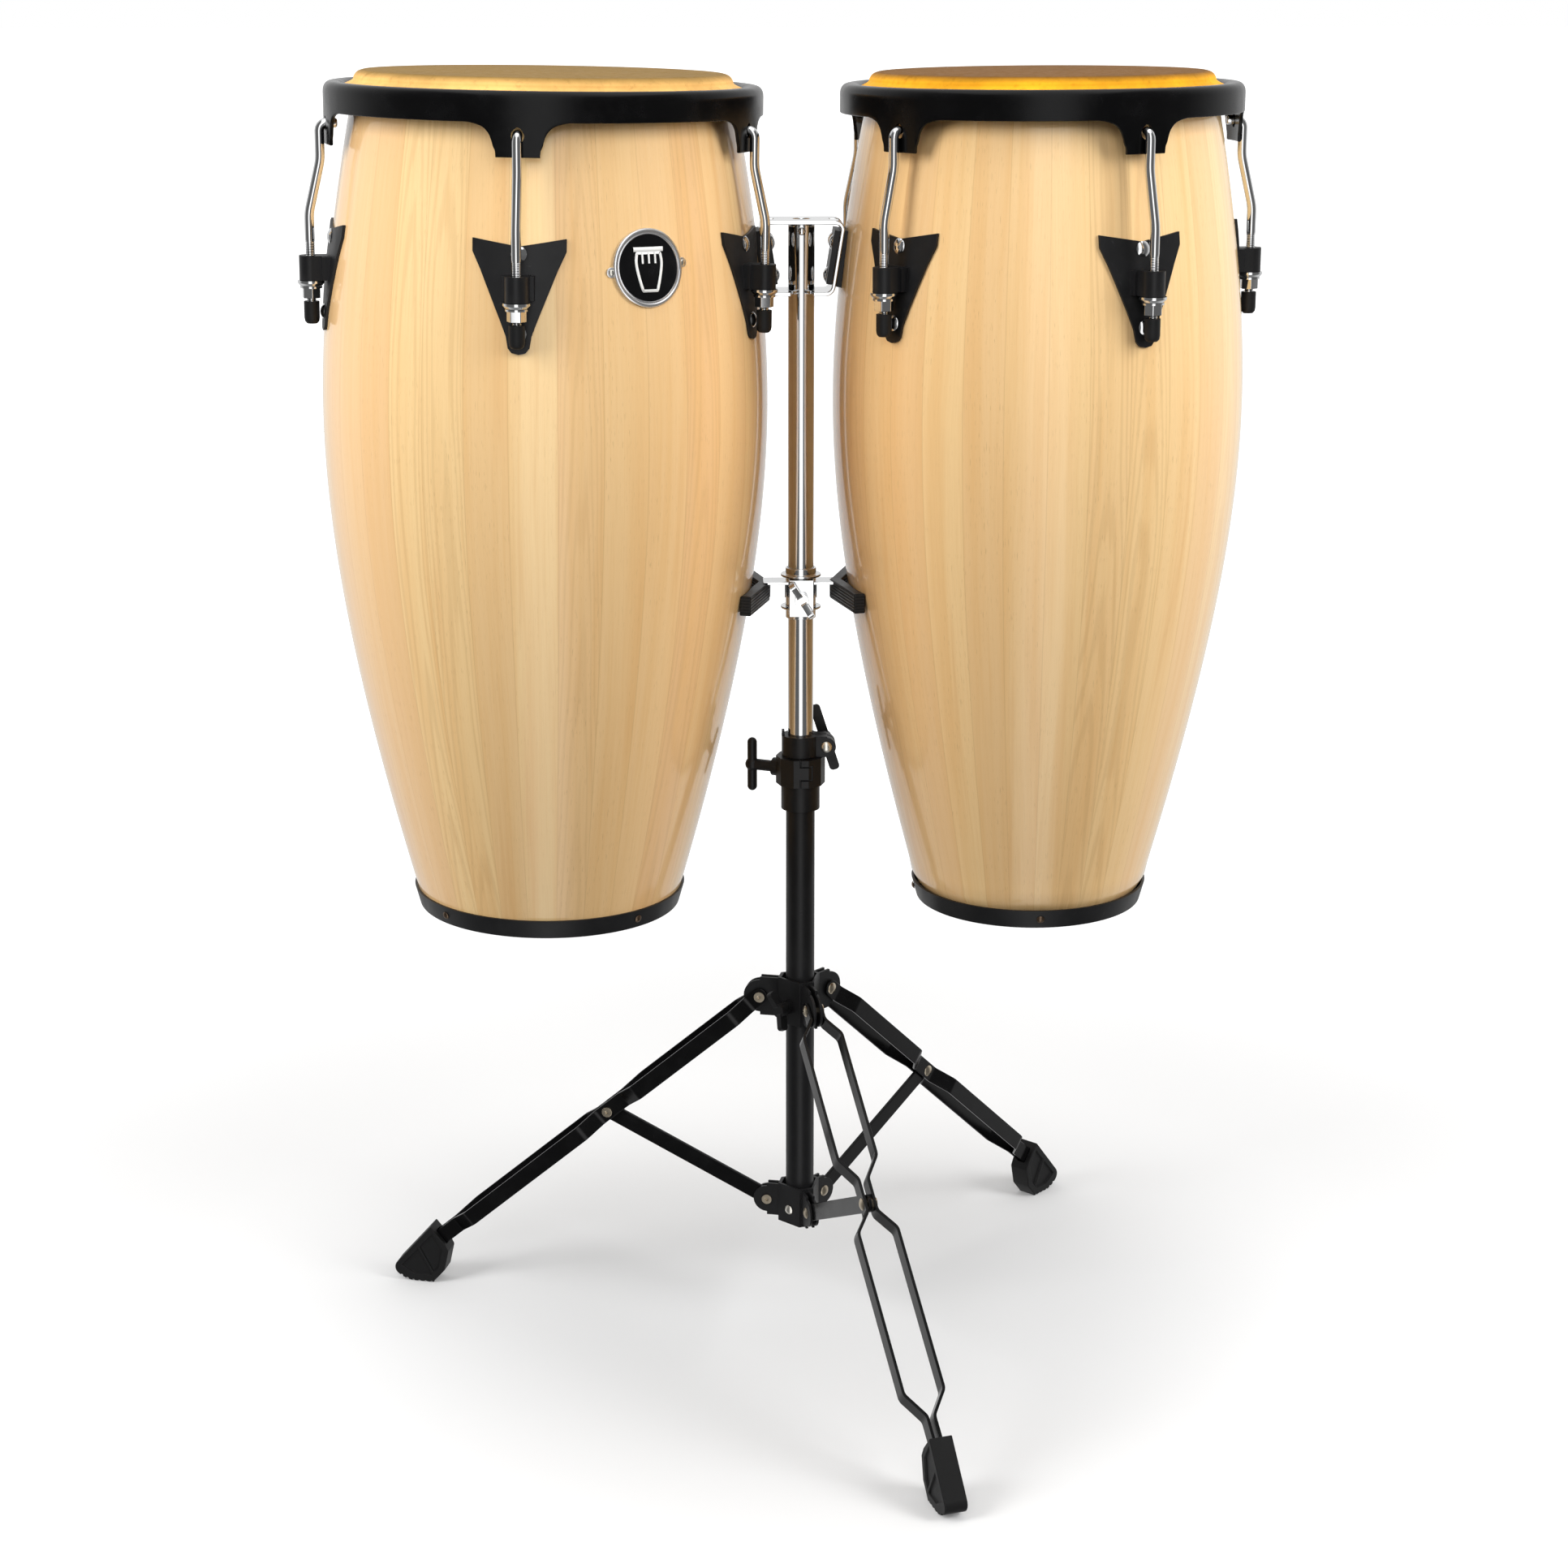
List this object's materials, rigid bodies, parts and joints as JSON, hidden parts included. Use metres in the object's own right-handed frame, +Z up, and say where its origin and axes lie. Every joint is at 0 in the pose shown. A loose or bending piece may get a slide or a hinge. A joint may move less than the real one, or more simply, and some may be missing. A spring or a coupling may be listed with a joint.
{
  "type": "pair of conga drums on a double stand",
  "caption": "Pair of tall barrel-shaped hand drums with hooked tension rods, bolted side by side to a height-adjustable stand on a folding tripod.",
  "frame": {"origin": "on the floor, on the axis of the stand's upright tube", "axes": "+Z up along the tube; -Y towards the player's side, where the badge and the front foot are; +X from the left, larger drum to the right, smaller one"},
  "size_m": [0.8031, 0.6685, 1.1221],
  "materials": {
    "lacquered_wood": "gloss lacquer over light staves",
    "skin": "matte tan drum skin",
    "black_steel": "satin black powder coat",
    "chrome": "polished chrome plate",
    "zinc": "bright zinc plate",
    "rubber": "black moulded rubber",
    "gasket": "black moulded backing pad",
    "nylon": "natural nylon",
    "badge": "plated rim round a dark plain field"
  },
  "bodies": {
    "base": {"lower_tube": "black_steel", "height_clamp": "black_steel", "height_bushing": "nylon", "tube_hub": "black_steel", "hub_rivets": "zinc", "hub_screw": "zinc"},
    "mast": {"upper_tube": "chrome", "top_bracket": "chrome", "bracket_screw": "chrome", "mount_bolts": "chrome", "ring_screws": "zinc", "left_badge": "badge", "left_shell": "lacquered_wood", "left_head": "skin", "left_flesh_ring": "zinc", "left_side_plates": "black_steel", "left_plate_screws": "chrome", "left_cup_washers": "chrome", "left_tuning_nuts": "chrome", "left_bottom_ring": "black_steel", "left_saddle": "gasket", "left_mount_plate": "black_steel", "right_shell": "lacquered_wood", "right_head": "skin", "right_flesh_ring": "zinc", "right_side_plates": "black_steel", "right_plate_screws": "chrome", "right_cup_washers": "chrome", "right_tuning_nuts": "chrome", "right_bottom_ring": "black_steel", "right_saddle": "gasket", "right_mount_plate": "black_steel"},
    "left_rim": {"left_hoop": "black_steel", "left_tension_rods": "chrome", "left_rod_caps": "rubber"},
    "right_rim": {"right_hoop": "black_steel", "right_tension_rods": "chrome", "right_rod_caps": "rubber"},
    "memory_lock": {"memory_lock": "black_steel", "memory_lock_bolt": "zinc"},
    "lock_wing_nut": {"memory_lock_wing_nut": "black_steel"},
    "t_bolt": {"height_t_bolt": "black_steel"},
    "brace": {"brace": "chrome", "brace_pads": "rubber"},
    "brace_screw": {"brace_wing_screw": "chrome"},
    "collar": {"leg_collar": "black_steel", "collar_rivets": "zinc"},
    "collar_screw": {"collar_wing_screw": "black_steel"},
    "front_leg": {"front_leg": "black_steel", "front_mid_rivet": "zinc", "front_foot": "rubber"},
    "front_link": {"front_link": "black_steel"},
    "right_leg": {"right_leg": "black_steel", "right_mid_rivet": "zinc", "right_foot": "rubber"},
    "right_link": {"right_link": "black_steel"},
    "left_leg": {"left_leg": "black_steel", "left_mid_rivet": "zinc", "left_foot": "rubber"},
    "left_link": {"left_link": "black_steel"}
  },
  "joints": [
    {"name": "mast_height", "type": "slide", "parent": "base", "child": "mast", "axis": [0, 0, 1], "range_m": [0, 0.18]},
    {"name": "lock_slide", "type": "slide", "parent": "mast", "child": "memory_lock", "axis": [0, 0, 1], "range_m": [0, 0.03]},
    {"name": "lock_wing_turn", "type": "hinge", "parent": "memory_lock", "child": "lock_wing_nut", "pos_m": [0.0223, 0.018, 0.5465], "axis": [0, 1, 0], "continuous": true},
    {"name": "clamp_turn", "type": "hinge", "parent": "base", "child": "t_bolt", "pos_m": [-0.04202, 0.01871, 0.524], "axis": [-0.9135, 0.4067, 0], "continuous": true},
    {"name": "brace_slide", "type": "slide", "parent": "mast", "child": "brace", "axis": [0, 0, 1], "range_m": [-0.05, 0]},
    {"name": "brace_screw_turn", "type": "hinge", "parent": "brace", "child": "brace_screw", "pos_m": [0, -0.0204, 0.681], "axis": [0, -1, 0], "continuous": true},
    {"name": "leg_fold", "type": "slide", "parent": "base", "child": "collar", "axis": [0, 0, 1], "range_m": [0, 0.13202]},
    {"name": "collar_screw_turn", "type": "hinge", "parent": "collar", "child": "collar_screw", "pos_m": [-0.0153, -0.01636, 0.306], "axis": [-0.6833, -0.7302, 0], "continuous": true},
    {"name": "front_leg_swing", "type": "hinge", "parent": "collar", "child": "front_leg", "pos_m": [0.01047, -0.03445, 0.311], "axis": [0.9568, 0.2907, 0], "range_deg": [0, 29.42]},
    {"name": "front_link_swing", "type": "hinge", "parent": "base", "child": "front_link", "pos_m": [0.00872, -0.0287, 0.113], "axis": [0.9568, 0.2907, 0], "range_deg": [-38.78, 0]},
    {"name": "right_leg_swing", "type": "hinge", "parent": "collar", "child": "right_leg", "pos_m": [0.0246, 0.02629, 0.311], "axis": [-0.7302, 0.6833, 0], "range_deg": [0, 29.42]},
    {"name": "right_link_swing", "type": "hinge", "parent": "base", "child": "right_link", "pos_m": [0.0205, 0.02191, 0.113], "axis": [-0.7302, 0.6833, 0], "range_deg": [-38.78, 0]},
    {"name": "left_leg_swing", "type": "hinge", "parent": "collar", "child": "left_leg", "pos_m": [-0.03506, 0.00816, 0.311], "axis": [-0.2267, -0.974, 0], "range_deg": [0, 29.42]},
    {"name": "left_link_swing", "type": "hinge", "parent": "base", "child": "left_link", "pos_m": [-0.02922, 0.0068, 0.113], "axis": [-0.2267, -0.974, 0], "range_deg": [-38.78, 0]},
    {"name": "left_tuning", "type": "slide", "parent": "mast", "child": "left_rim", "axis": [0.0159, 0, 0.9999], "range_m": [0, 0.0022]},
    {"name": "right_tuning", "type": "slide", "parent": "mast", "child": "right_rim", "axis": [-0.007, 0, 1], "range_m": [0, 0.0022]}
  ],
  "couplings": [
    {"joint": "front_leg_swing", "follows": "leg_fold", "rad_per_m": 3.8694},
    {"joint": "front_link_swing", "follows": "leg_fold", "rad_per_m": -5.1064},
    {"joint": "right_leg_swing", "follows": "leg_fold", "rad_per_m": 3.8694},
    {"joint": "right_link_swing", "follows": "leg_fold", "rad_per_m": -5.1064},
    {"joint": "left_leg_swing", "follows": "leg_fold", "rad_per_m": 3.8694},
    {"joint": "left_link_swing", "follows": "leg_fold", "rad_per_m": -5.1064}
  ]
}
